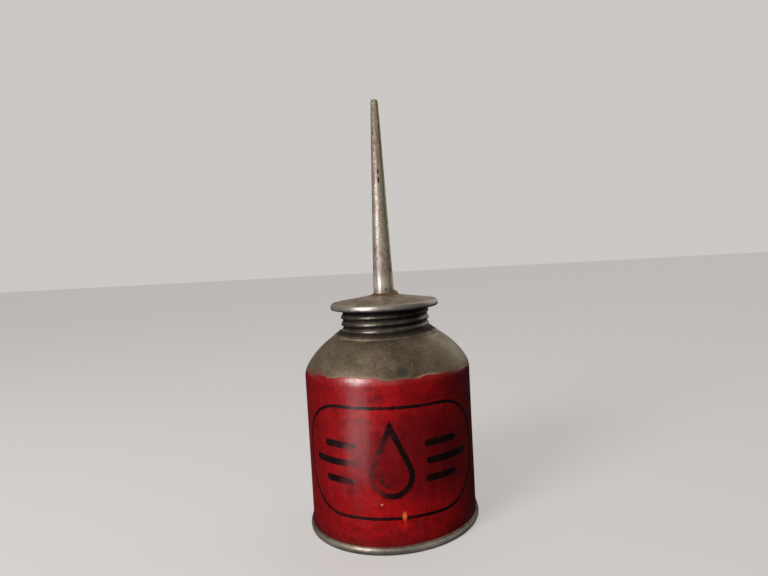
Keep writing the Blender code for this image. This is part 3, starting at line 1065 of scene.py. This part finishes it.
def build_solder():
    points = [(5.2, 87.2), (4.65, 87.5), (4.2, 87.9), (3.8, 88.05), (3.85, 87.35)]
    brown = band("z", 86, 87.2, 136, (118, 82, 52), 0.7, size=1)
    # The scrap's angle and width, then how far it stands out and up, in mm
    scrap = (84, 6, 0.9, 1.1)
    bead("spout_solder_bead", "spout_solder", "cap", points, 0.16, 130, 0.06, scrap, (brown, pale_lump))

    points = [(20.3, 72.25), (19.95, 72.8), (19.1, 73.35), (18.1, 74.02)]
    points += [(17.9, 73.8), (18.2, 73.3), (19.3, 72.8)]
    inner = band("radius", 19.6, 18.9, 146, (70, 58, 45), 0.8, size=1.5)
    overlays = (inner, ragged_dirt)
    bead("neck_solder_bead", "neck_solder", "can", points, 0.1, 140, 0.03, overlays=overlays)

    points = [(13.4, 84.2), (13.4, 85.25), (11.6, 85.55), (11.8, 85.15), (12.8, 84.85)]
    bead("collar_solder_bead", "collar_solder", "cap", points, 0.05, 150, 0.03)

    points = [(29.7, 6.2), (31.2, 6.2), (31.35, 7.9), (30.8, 7.6)]
    bead("bottom_solder_bead", "bottom_solder", "can", points, 0.1, 160, 0.03)


def build_bottom():
    """The sprung bottom: the corrugated ring flattens as the thumb disc in its middle is pushed in."""
    steel = aged_tin(
        "spring_steel",
        170,
        ((170, 156, 134), (124, 112, 94), (84, 62, 44)),
        overlays=(rust_patches(176, 2.5, 0.12), band("radius", 23.5, 27.5, 177, (60, 48, 38), 0.6)),
    )
    build_ring(steel)
    build_thumb_disc(steel)


def build_ring(steel):
    """The corrugated ring. Its outer end reaches the rim's wall, where the CAD model leaves a gap."""
    outline, closed = cad_outline("bottom_diaphragm")
    end, gap = 27.3 * MM, 0.28 * MM
    outline = [np.array((r + gap if r > end else r, z)) for r, z in outline]
    shape = smoothed(outline, closed, 0.4 * MM, corner_angle=60, radius=0.04 * MM)
    ring = piece("diaphragm_metal", "bottom_diaphragm", "can", steel, shape)
    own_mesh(ring)


def build_thumb_disc(steel):
    """The dished centre, with the faint rings left by the spinning of its sheet."""
    points = [(0, 0.9), (9.5, 0.9), (12.23, 1.1), (12.2, 1.5), (9.48, 1.3), (0, 1.3)]
    shape = smoothed(in_mm(points), False, 0.4 * MM, radius=0.05 * MM)
    waves = ripple(17, 4, 0.03)
    ring_spacing = 2.4 * MM

    def warp(angle, radius, height):
        spun = 0.04 * MM * np.cos(radius * FULL_TURN / ring_spacing)
        return radius, height + (spun + waves(angle, radius)) * past(radius, 11, -2)

    name, node, body = "thumb_disc_metal", "bottom_thumb_disc", "thumb_bottom"
    piece(name, node, body, steel, shape, warp=warp)


# -------- photograph's view, light and floor


def build_camera():
    """The photograph's viewpoint: slightly above the shoulder, just left of the can's front."""
    ahead, aside = math.cos(CAMERA_YAW), math.sin(CAMERA_YAW)
    level_part = math.cos(CAMERA_PITCH)
    forward = Vector((aside * level_part, ahead * level_part, -math.sin(CAMERA_PITCH)))
    level = Vector((ahead, -aside, 0))
    upright = level.cross(forward)
    across = math.cos(CAMERA_ROLL) * level + math.sin(CAMERA_ROLL) * upright
    up = math.cos(CAMERA_ROLL) * upright - math.sin(CAMERA_ROLL) * level
    data = bpy.data.cameras.new("photograph_view")
    data.lens = CAMERA_LENS
    data.sensor_width = CAMERA_SENSOR
    data.shift_x = CAMERA_SHIFT
    data.clip_start = 0.01
    data.clip_end = 20
    data.dof.use_dof = False
    camera = placed("photograph_view", data)
    turn = Matrix((across, up, -forward)).transposed().to_4x4()
    camera.matrix_world = Matrix.Translation(CAMERA_PLACE) @ turn
    bpy.context.scene.camera = camera


def softbox(name, azimuth, elevation, distance, width, height, power, colour):
    """A rectangular light aimed at the can. Azimuth is measured like the can's angles."""
    data = bpy.data.lights.new(name, "AREA")
    data.shape = "RECTANGLE"
    data.size = width
    data.size_y = height
    data.energy = power
    data.color = colour
    light = placed(name, data)
    a, e = math.radians(azimuth), math.radians(elevation)
    out = Vector((math.sin(a) * math.cos(e), -math.cos(a) * math.cos(e), math.sin(e)))
    light.location = Vector(LIT_POINT) + out * distance
    light.rotation_mode = "QUATERNION"
    light.rotation_quaternion = out.to_track_quat("Z", "Y")
    light.visible_camera = False


def map_range(tree, value, *limits):
    """value, smoothly changed from limits 0 to 1 into limits 2 to 3."""
    node = tree.nodes.new("ShaderNodeMapRange")
    node.interpolation_type = "SMOOTHSTEP"
    tree.links.new(value, node.inputs[0])
    for socket, number in zip(node.inputs[1:5], limits):
        socket.default_value = number
    return node.outputs[0]


def for_camera(tree, seen, otherwise, output):
    """Ends a tree in one shader for the camera's own rays and another for all the others."""
    mixed = tree.nodes.new("ShaderNodeMixShader")
    is_camera_ray = tree.nodes.new("ShaderNodeLightPath").outputs["Is Camera Ray"]
    for socket, source in zip(mixed.inputs, (is_camera_ray, otherwise.outputs[0], seen.outputs[0])):
        tree.links.new(source, socket)
    tree.links.new(mixed.outputs[0], tree.nodes[output].inputs["Surface"])


def build_world():
    """An even pale backdrop for the camera. The can is lit by a pale wall behind it, a dimmer
    ceiling and a dark room in front."""
    world = bpy.data.worlds.new("pale_studio")
    world.use_nodes = True
    bpy.context.scene.world = world
    tree = world.node_tree
    backdrop = tree.nodes["Background"]
    backdrop.inputs["Color"].default_value = (0.60, 0.575, 0.56, 1)
    room = tree.nodes.new("ShaderNodeBackground")
    room.inputs["Color"].default_value = (1.0, 0.96, 0.92, 1)
    way = tree.nodes.new("ShaderNodeTexCoord")
    split = tree.nodes.new("ShaderNodeSeparateXYZ")
    tree.links.new(way.outputs["Generated"], split.inputs[0])
    wall = map_range(tree, split.outputs["Y"], -0.05, 0.6, 0.05, 0.5)
    brighter_right = map_range(tree, split.outputs["X"], -0.6, 0.8, 0.28, 1.6)
    ceiling = map_range(tree, split.outputs["Z"], 0.2, 0.9, 0.0, 0.24)
    strength = tree.nodes.new("ShaderNodeMath")
    strength.operation = "MULTIPLY_ADD"
    for socket, value in zip(strength.inputs, (wall, brighter_right, ceiling)):
        tree.links.new(value, socket)
    tree.links.new(strength.outputs[0], room.inputs["Strength"])
    for_camera(tree, backdrop, room, "World Output")


def build_floor():
    """A plain pale floor, which throws little light back on the can, as the dark cloth under it did."""
    data = bpy.data.meshes.new("floor")
    sides = ((-1, -1), (1, -1), (1, 1), (-1, 1))
    data.from_pydata([(x * FLOOR_HALF, y * FLOOR_HALF, 0) for x, y in sides], [], [(0, 1, 2, 3)])
    material = bpy.data.materials.new("pale_floor")
    material.use_nodes = True
    tree = material.node_tree
    pale = tree.nodes["Principled BSDF"]
    pale.inputs["Base Color"].default_value = (0.40, 0.39, 0.38, 1)
    pale.inputs["Roughness"].default_value = 0.9
    pale.inputs["Specular IOR Level"].default_value = 0.1
    pale.inputs["Emission Color"].default_value = (0.36, 0.345, 0.335, 1)
    pale.inputs["Emission Strength"].default_value = 1.0
    dark = tree.nodes.new("ShaderNodeBsdfDiffuse")
    dark.inputs["Color"].default_value = (0.025, 0.025, 0.027, 1)
    for_camera(tree, pale, dark, "Material Output")
    data.materials.append(material)
    placed("floor", data)


build_body()
build_rim()
build_neck()
build_collar()
build_flange()
build_gasket()
build_spout()
build_solder()
build_bottom()
build_camera()
for light_name, settings in LIGHTS.items():
    softbox(light_name, *settings)
build_world()
build_floor()
bpy.context.scene.view_settings.view_transform = "Standard"
